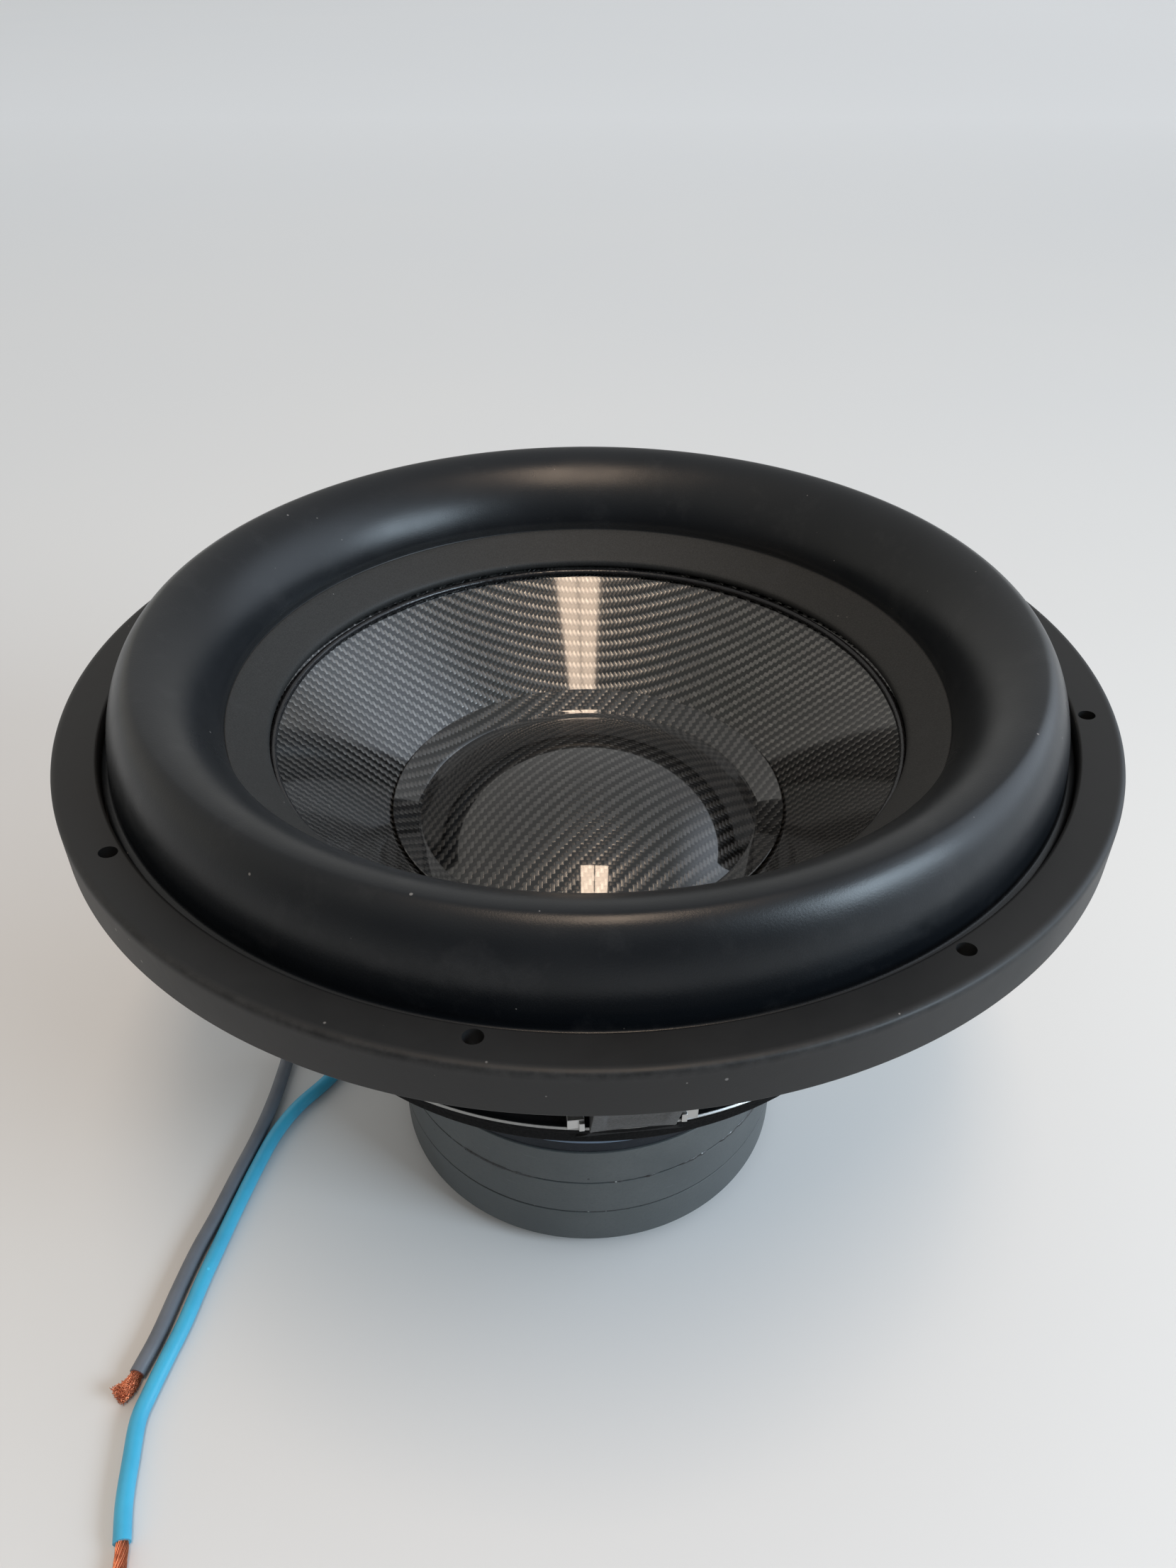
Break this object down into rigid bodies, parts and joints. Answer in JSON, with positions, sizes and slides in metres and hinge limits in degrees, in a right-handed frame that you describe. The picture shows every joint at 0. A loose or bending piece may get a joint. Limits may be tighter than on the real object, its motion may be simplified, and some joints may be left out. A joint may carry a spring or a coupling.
{
  "type": "subwoofer driver",
  "caption": "Large low-frequency loudspeaker driver: woven fibre cone and dust cap on a tall rubber roll, in a spoked metal basket over stacked ring magnets, with loose lead wires.",
  "frame": {"origin": "on the floor under the driver's axis, at the bottom centre of the back plate", "axes": "+Z along the driver's axis, the way the cone fires; +X and +Y lie in the floor, and +Y points away from the side the two lead wires run out on"},
  "size_m": [0.47, 0.5073, 0.3298],
  "materials": {
    "gasket_rubber": "smooth satin moulded rubber, charcoal",
    "surround_rubber": "satin black-grey rubber with a fine grain",
    "basket_alloy": "cast aluminium with a satin black coat, bright machined edges",
    "plate_steel": "steel with a glossy blue-black coat",
    "magnet_ferrite": null,
    "black_adhesive": "glossy black cured adhesive",
    "bare_copper": null,
    "shorting_aluminium": "turned aluminium",
    "carbon_fibre": "clear-coated 2x2 twill carbon fibre",
    "spider_cloth": "dark resin-set woven cloth, pressed into waves",
    "former_film": "amber film former",
    "terminal_plastic": "moulded black plastic",
    "plated_steel": "nickel-plated steel",
    "grey_jacket": "matte dark grey flexible jacket",
    "blue_jacket": "satin cyan-blue flexible jacket",
    "tinsel_braid": "tinned braid"
  },
  "bodies": {
    "chassis": {"basket": "basket_alloy", "gasket_ring": "gasket_rubber", "top_plate": "plate_steel", "magnet_ring_lower": "magnet_ferrite", "magnet_ring_middle": "magnet_ferrite", "magnet_ring_upper": "magnet_ferrite", "magnet_glue_lower": "black_adhesive", "magnet_glue_upper": "black_adhesive", "back_plate_yoke": "plate_steel", "shorting_ring": "shorting_aluminium", "pole_copper_cap": "bare_copper", "vent_screen": "plated_steel", "spider_spacer_ring": "terminal_plastic", "terminal_block": "terminal_plastic", "ferrule_grey": "plated_steel", "ferrule_blue": "plated_steel", "terminal_screw_grey": "plated_steel", "terminal_screw_blue": "plated_steel", "terminal_fixing_screw": "plated_steel", "surround": "surround_rubber", "spider_lower": "spider_cloth", "spider_upper": "spider_cloth", "tinsel_lead_grey": "tinsel_braid", "tinsel_lead_blue": "tinsel_braid", "wire_grey": "grey_jacket", "wire_blue": "blue_jacket", "strands_grey": "bare_copper", "strands_blue": "bare_copper", "foot_screw_1": "plated_steel", "foot_screw_2": "plated_steel", "foot_screw_3": "plated_steel", "foot_screw_4": "plated_steel", "foot_screw_5": "plated_steel", "foot_screw_6": "plated_steel", "foot_screw_7": "plated_steel", "foot_screw_8": "plated_steel"},
    "cone_assembly": {"cone": "carbon_fibre", "dust_cap": "carbon_fibre", "cone_rim_glue": "black_adhesive", "dust_cap_glue": "black_adhesive", "voice_coil_former": "former_film", "voice_coil_inner": "bare_copper", "voice_coil_outer": "bare_copper", "neck_collar": "black_adhesive"}
  },
  "joints": [
    {"name": "cone_travel", "type": "slide", "parent": "chassis", "child": "cone_assembly", "axis": [0, 0, 1], "range_m": [-0.03, 0.03], "stiffness_N_per_m": 12000, "springref_m": 0.0006, "deforming": ["surround", "spider_lower", "spider_upper", "tinsel_lead_grey", "tinsel_lead_blue"]}
  ]
}
